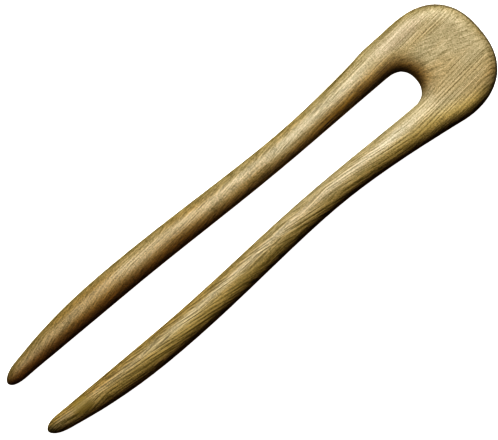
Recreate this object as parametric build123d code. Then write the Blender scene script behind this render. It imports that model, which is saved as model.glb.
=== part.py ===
from build123d import *
import math
import os

# A two-pronged hair fork carved from one piece of wood. It lies on a table with its
# back arched upwards, the crown towards +Y and the tips towards -Y, and it stands on
# the two tips and the underside of the crown. The origin is under its middle.

# Overall
overall_length = 175.0   # top of the crown to the tips, measured flat
arch_rise = 6.0          # how far the middle is bowed up above the two ends

# Crown, the broad rounded head above the notch
crown_width = 35.8       # at its widest
crown_depth = 24.2       # from the bottom of the notch to the top of the crown
crown_side = 11.5        # from the notch's centre up to where the crown is widest
crown_squareness = 2.4   # 2 is an ellipse, more is squarer
crown_lean = 0.7         # the crown sits this far to the +X side of the prongs
crown_thickness = 9.0
crown_edge = 6.0         # how far in from its edge the crown is rounded

# Notch, the round end of the gap between the prongs
notch_width = 11.6
notch_squareness = 2.25  # 2 is a half circle
notch_edge = 6.5         # how far back from the notch the wood is rounded

# Prongs: width over both of them, and the gap between them
shoulder_width = 33.85   # at the notch's centre
shoulder_lean = 0.15     # how far the shoulders have come across to +X there, towards the crown
waist_width = 28.0
waist_gap = 10.85
waist_thickness = 8.6
belly_width = 32.85
belly_gap = 14.2
belly_thickness = 9.0
prong_sway = 0.25        # hand carving bends both prongs this far to -X at the waist and tips

# Tips, at the very end of the taper, before the nose is rounded off it
tip_spacing = 18.6       # centre to centre
tip_width = 4.2
tip_thickness = 4.6
nose_length = 4.2        # how far back from the end the rounding of the nose reaches
nose_flat = 0.16         # share of the width and thickness that is left at the end

# Where the narrowest and the fullest place of a prong lie, as shares of its length
waist_place = 0.25
belly_place = 0.70

# How full each stretch of a prong's outer side is: 1 is straight, more is hollower
shoulder_hollow = 1.7
flank_hollow = 0.92
taper_fullness = 2.15

# A rounded edge takes at most this share of the section's width, on the side of the gap
# and on the outer side
inner_share = 0.43
outer_share = 0.53

# How many sections the form is drawn through
prong_sections = 18
crown_sections = 6
side_sections = 2
section_spread = 0.87    # 1 crowds the sections at the notch as much as at the tips

notch_radius = notch_width / 2
tip_y = -overall_length / 2
notch_y = overall_length / 2 - crown_depth - notch_radius
crown_height = crown_depth + notch_radius - crown_side
prong_length = notch_y - tip_y
waist_y = notch_y - waist_place * prong_length
belly_y = notch_y - belly_place * prong_length
gap_x = -crown_lean


def between(start, end, share):
    return start + (end - start) * share


def ease(share):
    """A soft start and a soft end between 0 and 1."""
    return (1 - math.cos(math.pi * share)) / 2


def seat(edge, thickness):
    """Height of the wood's middle at an end whose rounded edge rests on the table."""
    rise = 4 * arch_rise / overall_length * edge
    return math.hypot(thickness / 2, rise) - rise


def arch(y):
    """Height of the wood's middle above the table, bowed up between the tips and the crown."""
    tip_seat = seat(nose_length, taper(tip_y + nose_length)[2])
    crown_seat = seat(crown_edge, crown_thickness)
    straight = between(tip_seat, crown_seat, (y - tip_y) / overall_length)
    return straight + arch_rise * (1 - (2 * y / overall_length) ** 2)


def gap_middle(y):
    """Where the middle of the gap lies: it sways from the notch's own middle and back."""
    turn = 2 * math.pi * (y - waist_y) / (waist_y - tip_y)
    return gap_x - prong_sway * (1 + math.cos(turn)) / 2


def section(inner, outer, thickness):
    """Closed outline of the wood between an inner and an outer point in plan.

    It is flat above and below, with a quarter of an ellipse at each of its four edges.
    """
    foot = Vector(inner[0], inner[1], arch(inner[1]))
    reach = Vector(outer[0], outer[1], arch(outer[1])) - foot
    across = reach.normalized()
    plane = Plane(origin=foot, x_dir=across, z_dir=across.cross(Vector(0, 0, 1)))
    half = thickness / 2
    inner_edge = min(notch_edge, inner_share * reach.length)
    outer_edge = min(crown_edge, outer_share * reach.length)
    turn = reach.length - outer_edge
    edges = [
        EllipticalCenterArc((inner_edge, 0), inner_edge, half, 90, arc_size=90),
        EllipticalCenterArc((inner_edge, 0), inner_edge, half, 180, arc_size=90),
        Line((inner_edge, -half), (turn, -half)),
        EllipticalCenterArc((turn, 0), outer_edge, half, 270, arc_size=90),
        EllipticalCenterArc((turn, 0), outer_edge, half, 0, arc_size=90),
        Line((turn, half), (inner_edge, half)),
    ]
    return plane * Wire([edge.edge() for edge in edges])


def shoulder(y):
    """Inner side, outer side and thickness between the notch's centre and the waist."""
    share = (notch_y - y) / (notch_y - waist_y)
    inner = between(notch_width, waist_gap, ease(share)) / 2
    outer = between(waist_width, shoulder_width, (1 - share) ** shoulder_hollow) / 2
    return inner, outer, between(crown_thickness, waist_thickness, ease(share))


def flank(y):
    """The same between the waist and the belly."""
    share = (waist_y - y) / (waist_y - belly_y)
    inner = between(waist_gap, belly_gap, ease(share)) / 2
    outer = between(waist_width, belly_width, ease(share ** flank_hollow)) / 2
    return inner, outer, between(waist_thickness, belly_thickness, ease(share))


def taper(y):
    """The same between the belly and the tip, with the nose rounded off."""
    share = (belly_y - y) / (belly_y - tip_y)
    inner = between(belly_gap, tip_spacing - tip_width, share) / 2
    outer = between(belly_width, tip_spacing + tip_width, share ** taper_fullness) / 2
    thickness = between(belly_thickness, tip_thickness, share ** taper_fullness)
    nose = max(0, 1 - (y - tip_y) / nose_length)
    left = math.sqrt(1 - (1 - nose_flat ** 2) * nose ** 2)
    middle = (inner + outer) / 2
    return between(middle, inner, left), between(middle, outer, left), thickness * left


def prong_section(side, y):
    """Section across one prong, side 1 for +X and -1 for -X."""
    lean = 0
    if y > waist_y:
        inner, outer, thickness = shoulder(y)
        lean = shoulder_lean * ((y - waist_y) / (notch_y - waist_y)) ** shoulder_hollow
    elif y > belly_y:
        inner, outer, thickness = flank(y)
    else:
        inner, outer, thickness = taper(y)
    middle = gap_middle(y)
    return section((middle + side * inner, y), (middle + lean + side * outer, y), thickness)


def prong(side):
    """Sections of one prong from its tip up to the notch's centre, close together at the tip."""
    widest = 1 - math.cos(math.pi * section_spread)
    sections = []
    for step in range(prong_sections + 1):
        turn = math.pi * section_spread * step / prong_sections
        sections.append(prong_section(side, tip_y + prong_length * (1 - math.cos(turn)) / widest))
    return sections


def crown_outline(side, step):
    """Point on the crown's outer edge: up its side first, and then over its top."""
    if step < side_sections:
        share = step / side_sections
        half_width = between(shoulder_width, crown_width, share) / 2
        return between(gap_x + shoulder_lean, 0, share) + side * half_width, notch_y + crown_side * share
    turn = (step - side_sections) / (crown_sections - side_sections) * math.pi / 2
    x = side * crown_width / 2 * math.cos(turn) ** (2 / crown_squareness)
    y = notch_y + crown_side + crown_height * math.sin(turn) ** (2 / crown_squareness)
    return x, y


def crown_section(side, step):
    """Section from the round of the notch out to the crown's edge."""
    turn = step / crown_sections * math.pi / 2
    x = gap_x + side * notch_radius * math.cos(turn) ** (2 / notch_squareness)
    y = notch_y + notch_radius * math.sin(turn) ** (2 / notch_squareness)
    return section((x, y), crown_outline(side, step), crown_thickness)


def half(side):
    """Sections from one tip to just short of the top of the crown."""
    return prong(side) + [crown_section(side, step) for step in range(1, crown_sections)]


sections = half(-1) + [crown_section(1, crown_sections)] + half(1)[::-1]
fork = Solid.make_loft(sections)
hair_fork = fork.moved(Location((0, 0, -fork.bounding_box().min.Z)))

os.makedirs("parts", exist_ok=True)
export_step(hair_fork, "parts/hair_fork.step")
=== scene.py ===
import bmesh
import bpy
import math
from mathutils import Matrix

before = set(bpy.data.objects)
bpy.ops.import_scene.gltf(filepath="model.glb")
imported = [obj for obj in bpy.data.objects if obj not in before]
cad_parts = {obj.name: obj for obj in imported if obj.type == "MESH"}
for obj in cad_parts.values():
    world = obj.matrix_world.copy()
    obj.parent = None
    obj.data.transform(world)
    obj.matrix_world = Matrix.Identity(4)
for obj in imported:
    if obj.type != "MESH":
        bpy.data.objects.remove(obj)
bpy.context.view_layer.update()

# The hair fork
# One piece of verawood, a dense, waxy, greenish-brown timber. It is sawn out, shaped and
# rounded by hand, sanded fine and rubbed with wax. The solid has its form already and
# keeps its mesh, so this section gives it the wood.
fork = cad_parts["hair_fork"]
mm = 0.001
notch_centre = 57.35 * mm    # how far up the fork, which has its crown at +Y
gap_middle = -0.7 * mm       # the gap lies a little to the left, which is -X
bow_drop = 0.78              # times the square of the way from its middle, in metres, the fork drops


def linear(hex_colour):
    """An sRGB hex colour as the linear values that a shader takes."""
    shares = [int(hex_colour[start:start + 2], 16) / 255 for start in (1, 3, 5)]
    return [s / 12.92 if s <= 0.04045 else ((s + 0.055) / 1.055) ** 2.4 for s in shares] + [1.0]


def add_node(tree, kind, settings, inputs):
    """Add a node with its settings, and link or set each input that is named."""
    node = tree.nodes.new("ShaderNode" + kind)
    for name, value in settings.items():
        setattr(node, name, value)
    for name, value in inputs.items():
        if isinstance(value, bpy.types.NodeSocket):
            tree.links.new(value, node.inputs[name])
        else:
            node.inputs[name].default_value = value
    return node


# Waxed verawood: olive and pinkish tan in wide drifts, drawn over with fine darker and
# paler fibres. The grain is interlocked, so the fibres of each band lie at another slant
# and cross the form like the barbs of a feather. Sanding and wax leave a soft satin gloss.
wood = bpy.data.materials.new("waxed_verawood")
wood.use_nodes = True
tree = wood.node_tree
tree.nodes.clear()
coordinates = add_node(tree, "TexCoord", {}, {})
place = add_node(tree, "SeparateXYZ", {}, {"Vector": coordinates.outputs["Object"]})
across = place.outputs["X"]
along = place.outputs["Y"]
facing = add_node(tree, "SeparateXYZ", {}, {"Vector": coordinates.outputs["Normal"]})

# The fibres follow the bow, as the blank was sawn from a bent limb, so heights are taken
# from the bowed middle. None of them is dead straight: each wanders by up to a third of
# a millimetre.
along_squared = add_node(tree, "Math", {"operation": "MULTIPLY"}, {0: along, 1: along})
unbowed = add_node(tree, "Math", {"operation": "MULTIPLY_ADD"}, {
    0: along_squared.outputs[0],
    1: bow_drop,
    2: place.outputs["Z"],
})
straightened = add_node(tree, "CombineXYZ", {}, {"X": across, "Y": along, "Z": unbowed.outputs[0]})
bends = add_node(tree, "Mapping", {"vector_type": "TEXTURE"}, {
    "Vector": straightened.outputs[0],
    "Scale": (9 * mm, 24 * mm, 9 * mm),
})
drift = add_node(tree, "TexNoise", {}, {"Vector": bends.outputs[0], "Scale": 1.0, "Detail": 1.0})
sway = add_node(tree, "VectorMath", {"operation": "SUBTRACT"}, {
    0: drift.outputs["Color"],
    1: (0.5, 0.5, 0.5),
})
wander = add_node(tree, "VectorMath", {"operation": "MULTIPLY_ADD"}, {
    0: sway.outputs[0],
    1: (1.0 * mm, 0.0, 1.0 * mm),
    2: straightened.outputs[0],
})

# Each band of fibres: its slant from the fork's length in degrees, how fast that slant
# grows towards the tips, the width and length of its streaks in mm, how strongly they
# show, and how dark the thin lines are that run through them.
# Real vessels are 0.1 mm wide, too fine for the picture, so the streaks are drawn about
# five times as coarse.
streak_depth = 2.2    # how deep a streak goes into the wood, times its width
line_cover = 0.22     # the share that the thin lines darken; the rest is made paler to match
fibres = {}
for band, slant, sweep, streak_width, streak_length, strength, line_depth in (
    ("left_prong", -11, 1.2, 0.45, 7, 1.95, 0.0),
    ("right_prong", 9, 0.0, 0.5, 13, 1.95, 0.5),
    ("straight", -4, 0.0, 0.5, 20, 2.1, 0.2),
    ("feathered", 20, 0.0, 0.5, 6, 1.65, 0.1),
    ("lined", -4, 0.0, 0.55, 26, 1.7, 0.5),
):
    aside = add_node(tree, "Math", {"operation": "MULTIPLY"}, {0: along_squared.outputs[0], 1: -sweep})
    swept = add_node(tree, "CombineXYZ", {}, {"X": aside.outputs[0]})
    path = add_node(tree, "VectorMath", {"operation": "ADD"}, {0: wander.outputs[0], 1: swept.outputs[0]})
    lie = add_node(tree, "Mapping", {"vector_type": "TEXTURE"}, {
        "Vector": path.outputs[0],
        "Rotation": (0.0, 0.0, -math.radians(slant)),
        "Scale": (streak_width * mm, streak_length * mm, streak_depth * streak_width * mm),
    })
    streaks = add_node(tree, "TexNoise", {}, {
        "Vector": lie.outputs[0],
        "Scale": 1.0,
        "Detail": 1.0,
        "Roughness": 1.0,
    })
    shown = add_node(tree, "Math", {"operation": "MULTIPLY_ADD"}, {
        0: streaks.outputs["Fac"],
        1: strength,
        2: line_cover * line_depth - strength / 2,
    })
    ripple = add_node(tree, "TexWave", {"bands_direction": "DIAGONAL"}, {
        "Vector": lie.outputs[0],
        "Scale": 0.34,
        "Distortion": 5.0,
        "Detail": 1.0,
        "Detail Scale": 0.6,
    })
    line = add_node(tree, "MapRange", {"interpolation_type": "SMOOTHSTEP"}, {
        "Value": ripple.outputs["Fac"],
        "From Min": 0.6,
        "From Max": 1.0,
    })
    drawn = add_node(tree, "Math", {"operation": "MULTIPLY_ADD"}, {
        0: line.outputs[0],
        1: -line_depth,
        2: shown.outputs[0],
    })
    fibres[band] = drawn.outputs[0]

# The zones in which the wood differs, each with where it begins and where it is full, in
# mm across the fork or along it. Every zone comes in softly.
zones = {}
for zone, measure, begins, full in (
    ("right_half", across, -3.0, 1.6),
    ("left_of_gap", across, 6.0, -2.5),
    ("right_of_gap", across, 1.0, 5.0),
    ("crown", along, 44, 62),
    ("by_notch", along, 38, 54),
    ("upper_gap", along, -15, 25),
    ("lower_gap", along, 0, -30),
    ("towards_left_tip", along, 30, -80),
):
    reach = add_node(tree, "MapRange", {"interpolation_type": "SMOOTHSTEP"}, {
        "Value": measure,
        "From Min": begins * mm,
        "From Max": full * mm,
    })
    zones[zone] = reach.outputs[0]

# On the prongs each one's own slanted fibres come to the surface in turn with straight
# ones, as the interlocked layers do. Towards the tips the grain fades on the left prong
# and grows stronger on the right one.
# A Mix node has its share at input 0, its two numbers at 2 and 3 and its two colours at
# 6 and 7, and it gives a mixed colour at output 2.
layers = add_node(tree, "Mapping", {"vector_type": "TEXTURE"}, {
    "Vector": wander.outputs[0],
    "Location": (0.0, 40 * mm, 0.0),
    "Rotation": (0.0, 0.0, -math.radians(6)),
    "Scale": (4.2 * mm, 16 * mm, 4.2 * mm),
})
layer = add_node(tree, "TexNoise", {}, {"Vector": layers.outputs[0], "Scale": 1.0, "Detail": 1.5})
slanted_layer = add_node(tree, "MapRange", {"interpolation_type": "SMOOTHSTEP"}, {
    "Value": layer.outputs["Fac"],
    "From Min": 0.60,
    "From Max": 0.52,
})
slanted = add_node(tree, "Mix", {}, {
    0: zones["right_half"],
    2: fibres["left_prong"],
    3: fibres["right_prong"],
})
layered = add_node(tree, "Mix", {}, {
    0: slanted_layer.outputs[0],
    2: fibres["straight"],
    3: slanted.outputs[0],
})
prong_strengths = {}
for side, upper_strength, lower_strength in (("left", 1.05, 0.75), ("right", 0.8, 1.3)):
    change = add_node(tree, "MapRange", {}, {
        "Value": along,
        "From Min": 50 * mm,
        "From Max": -60 * mm,
        "To Min": upper_strength,
        "To Max": lower_strength,
    })
    prong_strengths[side] = change.outputs[0]
prong_strength = add_node(tree, "Mix", {}, {
    0: zones["right_half"],
    2: prong_strengths["left"],
    3: prong_strengths["right"],
})
prong_grain = add_node(tree, "Math", {"operation": "MULTIPLY"}, {
    0: layered.outputs[0],
    1: prong_strength.outputs[0],
})

# In the middle of the crown the feathered fibres show, with a ragged border. Straight
# ones run up its sides, with more thin lines in a strip on the right.
feather_middle = -1.5 * mm
feather_reach = 16 * mm    # times the layer's noise, which is about a half
lined_middle = 9 * mm
off_feather = add_node(tree, "Math", {"operation": "SUBTRACT"}, {0: across, 1: feather_middle})
feather_distance = add_node(tree, "Math", {"operation": "ABSOLUTE"}, {0: off_feather.outputs[0]})
ragged_distance = add_node(tree, "Math", {"operation": "MULTIPLY_ADD"}, {
    0: layer.outputs["Fac"],
    1: -feather_reach,
    2: feather_distance.outputs[0],
})
feathered = add_node(tree, "MapRange", {"interpolation_type": "SMOOTHSTEP"}, {
    "Value": ragged_distance.outputs[0],
    "From Min": -1.0 * mm,
    "From Max": -3.5 * mm,
})
off_lined = add_node(tree, "Math", {"operation": "SUBTRACT"}, {0: across, 1: lined_middle})
lined_distance = add_node(tree, "Math", {"operation": "ABSOLUTE"}, {0: off_lined.outputs[0]})
lined = add_node(tree, "MapRange", {"interpolation_type": "SMOOTHSTEP"}, {
    "Value": lined_distance.outputs[0],
    "From Min": 5.5 * mm,
    "From Max": 3.0 * mm,
})
crown_sides = add_node(tree, "Mix", {}, {0: lined.outputs[0], 2: fibres["straight"], 3: fibres["lined"]})
crown_grain = add_node(tree, "Mix", {}, {
    0: feathered.outputs[0],
    2: crown_sides.outputs[0],
    3: fibres["feathered"],
})
grain = add_node(tree, "Mix", {}, {
    0: zones["crown"],
    2: prong_grain.outputs[0],
    3: crown_grain.outputs[0],
})

# Between the fibres the wood is finely flecked. Real flecks are about 0.1 mm wide, and
# they are drawn four times as coarse so that they show. The broad face of the crown is
# more matt than the prongs, so fibres and flecks show less there.
fleck_strength = 1.5
fleck = add_node(tree, "TexNoise", {}, {
    "Vector": coordinates.outputs["Object"],
    "Scale": 1 / (0.4 * mm),
    "Detail": 1.0,
})
mottle = add_node(tree, "Math", {"operation": "MULTIPLY_ADD"}, {
    0: fleck.outputs["Fac"],
    1: fleck_strength,
    2: -fleck_strength / 2,
})
flecked = add_node(tree, "Math", {"operation": "ADD"}, {0: grain.outputs[0], 1: mottle.outputs[0]})
shows = add_node(tree, "MapRange", {}, {"Value": zones["crown"], "To Min": 1.0, "To Max": 0.84})

# The steep outer sides on both flanks are drawn with darker fibres, most on the crown, and on the shaded
# side towards +X this darkening is painted shade. That leaves each streak with its tone: 0 is a dark
# fibre and 1 a pale one.
sideways = add_node(tree, "Math", {"operation": "ABSOLUTE"}, {0: facing.outputs["X"]})
edge_on = add_node(tree, "MapRange", {"interpolation_type": "SMOOTHSTEP"}, {
    "Value": sideways.outputs[0],
    "From Min": 0.28,
    "From Max": 0.64,
})
off_middle = add_node(tree, "Math", {"operation": "ABSOLUTE"}, {0: across})
outer_half = add_node(tree, "MapRange", {"interpolation_type": "SMOOTHSTEP"}, {
    "Value": off_middle.outputs[0],
    "From Min": 8.0 * mm,
    "From Max": 11.0 * mm,
})
steep_outer_sides = add_node(tree, "Math", {"operation": "MULTIPLY"}, {
    0: edge_on.outputs[0],
    1: outer_half.outputs[0],
})
edge_tone = add_node(tree, "MapRange", {}, {"Value": zones["crown"], "To Min": 0.45, "To Max": 0.33})
fibre_tone = add_node(tree, "MapRange", {}, {
    "Value": steep_outer_sides.outputs[0],
    "To Min": 0.55,
    "To Max": edge_tone.outputs[0],
})
streak = add_node(tree, "Math", {"operation": "MULTIPLY_ADD", "use_clamp": True}, {
    0: flecked.outputs[0],
    1: shows.outputs[0],
    2: fibre_tone.outputs[0],
})

# The colours of the wood, each from its dark fibres to its pale ones. Amber and umber serve as painted
# shade, pale and pinkish as painted highlights, and edge and golden in part as painted shade.
colours = {}
for colour, dark_fibre, pale_fibre in (
    ("olive", "#7A6C30", "#D2C096"),
    ("tan", "#786416", "#D3B272"),
    ("edge", "#78682A", "#DAC68C"),
    ("golden", "#826E24", "#E8CE84"),
    ("amber", "#64440A", "#C49A3A"),
    ("umber", "#583206", "#A46C18"),
    ("pale", "#8A8052", "#DED4B8"),
    ("golden_brown", "#705816", "#CAAA58"),
    ("pinkish", "#8E7C5A", "#E0D0B6"),
    ("plain_olive", "#A08A40", "#B69E54"),
):
    fibre_colour = add_node(tree, "Mix", {"data_type": "RGBA"}, {
        0: streak.outputs[0],
        6: linear(dark_fibre),
        7: linear(pale_fibre),
    })
    colours[colour] = fibre_colour.outputs[2]

# Olive heartwood with drifts of warmer tan, more of it towards the tips, above all on
# the left prong.
drifts = add_node(tree, "Mapping", {"vector_type": "TEXTURE"}, {
    "Vector": wander.outputs[0],
    "Scale": (7 * mm, 30 * mm, 7 * mm),
})
patches = add_node(tree, "TexNoise", {}, {"Vector": drifts.outputs[0], "Scale": 1.0, "Detail": 2.0})
warming = add_node(tree, "MapRange", {}, {
    "Value": zones["right_half"],
    "To Min": -0.0022 / mm,
    "To Max": -0.0004 / mm,
})
towards_tips = add_node(tree, "Math", {"operation": "MULTIPLY_ADD"}, {
    0: along,
    1: warming.outputs[0],
    2: patches.outputs["Fac"],
})
warmth = add_node(tree, "MapRange", {}, {
    "Value": towards_tips.outputs[0],
    "From Min": 0.34,
    "From Max": 0.74,
})
flat_wood = add_node(tree, "Mix", {"data_type": "RGBA"}, {
    0: warmth.outputs[0],
    6: colours["olive"],
    7: colours["tan"],
})

# The rounded, steep edges are painted more golden than the flat of the wood. In part this is the wood's
# own colour at its rims, and in part it is painted shade for the warm, deep shade on the turned sides.
# All of the outer side towards +X, which lies in shade, is painted golden as painted shade. Past the
# notch that side lies further out, as the crown is wider.
crown_flare = 0.25    # how far out, times the way up from the notch's centre
past_notch = add_node(tree, "Math", {"operation": "SUBTRACT"}, {0: along, 1: notch_centre})
up_notch = add_node(tree, "Math", {"operation": "MAXIMUM"}, {0: past_notch.outputs[0], 1: 0.0})
outward = add_node(tree, "Math", {"operation": "MULTIPLY_ADD"}, {
    0: up_notch.outputs[0],
    1: -crown_flare,
    2: across,
})
outer_side = add_node(tree, "MapRange", {"interpolation_type": "SMOOTHSTEP"}, {
    "Value": outward.outputs[0],
    "From Min": 7.0 * mm,
    "From Max": 13.0 * mm,
})
level = add_node(tree, "Math", {"operation": "ABSOLUTE"}, {0: facing.outputs["Z"]})
turned = add_node(tree, "MapRange", {"interpolation_type": "SMOOTHSTEP"}, {
    "Value": level.outputs[0],
    "From Min": 0.75,
    "From Max": 0.25,
})
edged = add_node(tree, "Mix", {"data_type": "RGBA"}, {
    0: turned.outputs[0],
    6: flat_wood.outputs[2],
    7: colours["edge"],
})
# Painted shade: the outer side towards +X turns golden.
edged_and_shaded_side = add_node(tree, "Mix", {"data_type": "RGBA"}, {
    0: outer_side.outputs[0],
    6: edged.outputs[2],
    7: colours["golden"],
})

# Painted shade: towards the gap the wood is painted amber brown, standing in for the deep warm shade on
# the left prong's shaded side, over most of the left prong and round the notch, and it fades out on the
# way to the right prong. The brown draws in towards the waist and moves out again with the wider gap at
# the belly, and it turns to umber towards the left tip.
off_gap = add_node(tree, "Math", {"operation": "SUBTRACT"}, {0: across, 1: gap_middle})
from_gap = add_node(tree, "CombineXYZ", {}, {"X": off_gap.outputs[0], "Y": up_notch.outputs[0]})
gap_distance = add_node(tree, "VectorMath", {"operation": "LENGTH"}, {0: from_gap.outputs[0]})
to_waist = add_node(tree, "MapRange", {"interpolation_type": "SMOOTHSTEP"}, {
    "Value": along,
    "From Min": 45 * mm,
    "From Max": 16 * mm,
    "To Max": 2.0 * mm,
})
to_belly = add_node(tree, "MapRange", {"interpolation_type": "SMOOTHSTEP"}, {
    "Value": along,
    "From Min": 10 * mm,
    "From Max": -24 * mm,
    "To Max": -2.6 * mm,
})
drawn_in = add_node(tree, "Math", {"operation": "ADD"}, {
    0: gap_distance.outputs["Value"],
    1: to_waist.outputs[0],
})
band_distance = add_node(tree, "Math", {"operation": "ADD"}, {
    0: drawn_in.outputs[0],
    1: to_belly.outputs[0],
})
beside_gap = add_node(tree, "MapRange", {"interpolation_type": "SMOOTHSTEP"}, {
    "Value": band_distance.outputs[0],
    "From Min": 12.0 * mm,
    "From Max": 6.5 * mm,
})
painted_shade_share = add_node(tree, "Math", {"operation": "MULTIPLY"}, {
    0: beside_gap.outputs[0],
    1: zones["left_of_gap"],
})
# The painted shade's colour: amber, turning to umber towards the left tip.
brown = add_node(tree, "Mix", {"data_type": "RGBA"}, {
    0: zones["towards_left_tip"],
    6: colours["amber"],
    7: colours["umber"],
})
coloured = add_node(tree, "Mix", {"data_type": "RGBA"}, {
    0: painted_shade_share.outputs[0],
    6: edged_and_shaded_side.outputs[2],
    7: brown.outputs[2],
})

# The right prong's side towards the gap is painted pale down past the waist, a painted highlight, and its
# edge turns golden brown from there to the tip. Each has its zone along the gap, where it begins and is
# full in mm from the gap's middle, and how far it covers the wood.
for colour, zone, begins, full, cover in (
    # The pale is a painted highlight on the right prong's lit side towards the gap.
    ("pale", "upper_gap", 11.0, 7.5, 0.45),
    ("golden_brown", "lower_gap", 9.0, 7.2, 0.5),
):
    near_gap = add_node(tree, "MapRange", {"interpolation_type": "SMOOTHSTEP"}, {
        "Value": band_distance.outputs[0],
        "From Min": begins * mm,
        "From Max": full * mm,
        "To Max": cover,
    })
    in_zone = add_node(tree, "Math", {"operation": "MULTIPLY"}, {
        0: near_gap.outputs[0],
        1: zones[zone],
    })
    share = add_node(tree, "Math", {"operation": "MULTIPLY"}, {
        0: in_zone.outputs[0],
        1: zones["right_of_gap"],
    })
    coloured = add_node(tree, "Mix", {"data_type": "RGBA"}, {
        0: share.outputs[0],
        6: coloured.outputs[2],
        7: colours[colour],
    })

# Two spots break the grain: a smooth pinkish one on the crown's left flank, which is a painted highlight,
# and a plain olive one near the right tip. Each has its middle and its half sizes in mm, and how far it
# covers the wood.
spot_depth = 30 * mm    # half of it, more than the wood is high anywhere
for colour, middle_x, middle_y, half_width, half_length, cover in (
    # A painted highlight on the crown's lit left flank.
    ("pinkish", -14.0, 67.0, 3.2, 12.0, 0.4),
    ("plain_olive", 9.0, -74.5, 3.2, 4.2, 0.95),
):
    from_spot = add_node(tree, "Mapping", {"vector_type": "TEXTURE"}, {
        "Vector": wander.outputs[0],
        "Location": (middle_x * mm, middle_y * mm, 0.0),
        "Scale": (half_width * mm, half_length * mm, spot_depth),
    })
    spot_distance = add_node(tree, "VectorMath", {"operation": "LENGTH"}, {0: from_spot.outputs[0]})
    in_spot = add_node(tree, "MapRange", {"interpolation_type": "SMOOTHSTEP"}, {
        "Value": spot_distance.outputs["Value"],
        "From Min": 1.15,
        "From Max": 0.6,
        "To Max": cover,
    })
    coloured = add_node(tree, "Mix", {"data_type": "RGBA"}, {
        0: in_spot.outputs[0],
        6: coloured.outputs[2],
        7: colours[colour],
    })

# On the left of the notch the wood is painted dark as painted shade, and over the top of the crown the
# steep rim that faces +Y is drawn dark.
notch_shade = add_node(tree, "MapRange", {"interpolation_type": "SMOOTHSTEP"}, {
    "Value": gap_distance.outputs["Value"],
    "From Min": 9.6 * mm,
    "From Max": 6.6 * mm,
    "To Max": 0.48,
})
rim_by_notch = add_node(tree, "Math", {"operation": "MULTIPLY"}, {
    0: notch_shade.outputs[0],
    1: zones["by_notch"],
})
notch_shade_share = add_node(tree, "Math", {"operation": "MULTIPLY"}, {
    0: rim_by_notch.outputs[0],
    1: zones["left_of_gap"],
})
facing_crown_top = add_node(tree, "MapRange", {"interpolation_type": "SMOOTHSTEP"}, {
    "Value": facing.outputs["Y"],
    "From Min": 0.15,
    "From Max": 0.55,
    "To Max": 0.6,
})
steep = add_node(tree, "MapRange", {"interpolation_type": "SMOOTHSTEP"}, {
    "Value": level.outputs[0],
    "From Min": 0.62,
    "From Max": 0.42,
})
crown_share = add_node(tree, "Math", {"operation": "MULTIPLY"}, {
    0: facing_crown_top.outputs[0],
    1: steep.outputs[0],
})
dark_rim_and_shade_share = add_node(tree, "Math", {"operation": "MAXIMUM"}, {
    0: crown_share.outputs[0],
    1: notch_shade_share.outputs[0],
})
# Painted shade by the notch and the dark rim atop the crown, in one dark brown.
dark_rim_and_shade = add_node(tree, "Mix", {"data_type": "RGBA"}, {
    0: dark_rim_and_shade_share.outputs[0],
    6: coloured.outputs[2],
    7: linear("#3A260A"),
})

# Fine sanding leaves the dark fibres a touch rougher and lower than the pale ones, and
# the crown is the more matt. Wax makes it shine more than bare wood, hence the high IOR.
crown_matt = 0.15    # added roughness
fibre_gloss = add_node(tree, "MapRange", {}, {
    "Value": streak.outputs[0],
    "To Min": 0.60,
    "To Max": 0.45,
})
gloss = add_node(tree, "Math", {"operation": "MULTIPLY_ADD"}, {
    0: zones["crown"],
    1: crown_matt,
    2: fibre_gloss.outputs[0],
})
sanding = add_node(tree, "Bump", {}, {
    "Height": streak.outputs[0],
    "Strength": 1.0,
    "Distance": 0.05 * mm,
})
finish = add_node(tree, "BsdfPrincipled", {}, {
    "Base Color": dark_rim_and_shade.outputs[2],
    "Roughness": gloss.outputs[0],
    "IOR": 1.7,
    "Specular IOR Level": 1.0,
    "Normal": sanding.outputs[0],
})
add_node(tree, "OutputMaterial", {}, {"Surface": finish.outputs[0]})
fork.material_slots[0].material = wood

# The camera
# Straight above the fork, as in the photo, with a long lens. The fork's length slants up
# to the right there, and one pixel is just under 0.3 mm.
pixel = 0.29576 * mm
picture_width = 498 * pixel
picture_middle = (-0.98 * mm, -1.41 * mm)
camera_height = 1.2
middle_height = 8 * mm
length_slant = math.radians(40.29)

lens = bpy.data.cameras.new("camera")
lens.sensor_width = 36.0
lens.lens = lens.sensor_width * (camera_height - middle_height) / picture_width
camera = bpy.data.objects.new("camera", lens)
camera.location = (*picture_middle, camera_height)
camera.rotation_euler = (0.0, 0.0, math.pi / 2 - length_slant)
bpy.context.scene.collection.objects.link(camera)
bpy.context.scene.camera = camera

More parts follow.
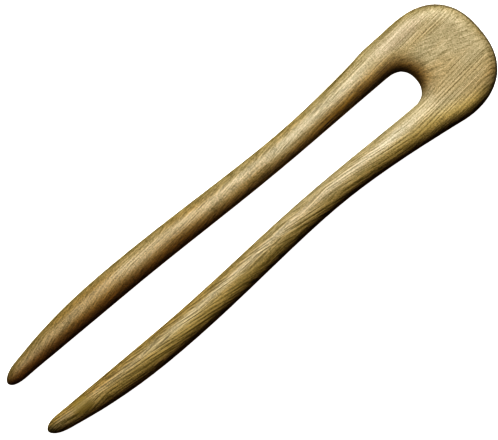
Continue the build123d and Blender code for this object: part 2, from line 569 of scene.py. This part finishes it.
# The table top
# A wide sheet of matt white acrylic, lit softly from below, so that the fork stands on
# plain white with next to no shadow, as in the photo. It throws no light back on the
# fork, whose shaded sides stay as deep as they are there.
table_reach = 3.0    # from its middle to each edge
sheet = bmesh.new()
bmesh.ops.create_grid(sheet, x_segments=1, y_segments=1, size=table_reach)
table_mesh = bpy.data.meshes.new("table_top")
sheet.to_mesh(table_mesh)
sheet.free()
table = bpy.data.objects.new("table_top", table_mesh)
bpy.context.scene.collection.objects.link(table)

acrylic = bpy.data.materials.new("matt_white_acrylic")
acrylic.use_nodes = True
acrylic_tree = acrylic.node_tree
acrylic_tree.nodes.clear()
white = add_node(acrylic_tree, "BsdfPrincipled", {}, {
    "Base Color": linear("#F2F2F0"),
    "Roughness": 0.7,
    "Specular IOR Level": 0.2,
    "Emission Color": linear("#FFFFFF"),
    "Emission Strength": 0.62,
})
add_node(acrylic_tree, "OutputMaterial", {}, {"Surface": white.outputs[0]})
table_mesh.materials.append(acrylic)
table.visible_diffuse = False
table.visible_glossy = False

# The studio
# Three soft round lamps on the photo's upper side, one from its left and two from its
# right, a weak warm one low on the shaded side, and a dim room. Each lamp has its angles
# in degrees, round the fork from +X and down from overhead, and faces the fork.
lamp_distance = 0.7
lamp_size = 0.28
for name, compass, tilt, watts, lamp_colour in (
    ("left_lamp", 190, 35, 1.33, "#FFFFFF"),
    ("right_lamp", 130, 50, 2.8, "#FFFFFF"),
    ("low_lamp", 110, 65, 0.32, "#FFFFFF"),
    ("side_lamp", 340, 82, 0.16, "#FFCB8C"),
):
    light = bpy.data.lights.new(name, "AREA")
    light.shape = "DISK"
    light.size = lamp_size
    light.energy = watts
    light.color = linear(lamp_colour)[:3]
    lamp = bpy.data.objects.new(name, light)
    swing = Matrix.Rotation(math.radians(compass), 4, "Z") @ Matrix.Rotation(math.radians(tilt), 4, "Y")
    lamp.matrix_world = swing @ Matrix.Translation((0.0, 0.0, lamp_distance))
    bpy.context.scene.collection.objects.link(lamp)

room = bpy.data.worlds.new("dim_room")
room.use_nodes = True
room.node_tree.nodes["Background"].inputs["Color"].default_value = linear("#FFFFFF")
room.node_tree.nodes["Background"].inputs["Strength"].default_value = 0.003
bpy.context.scene.world = room

# The photo is contrasty, and the picture is developed to match.
bpy.context.scene.view_settings.view_transform = "Standard"
bpy.context.scene.view_settings.look = "Very High Contrast"
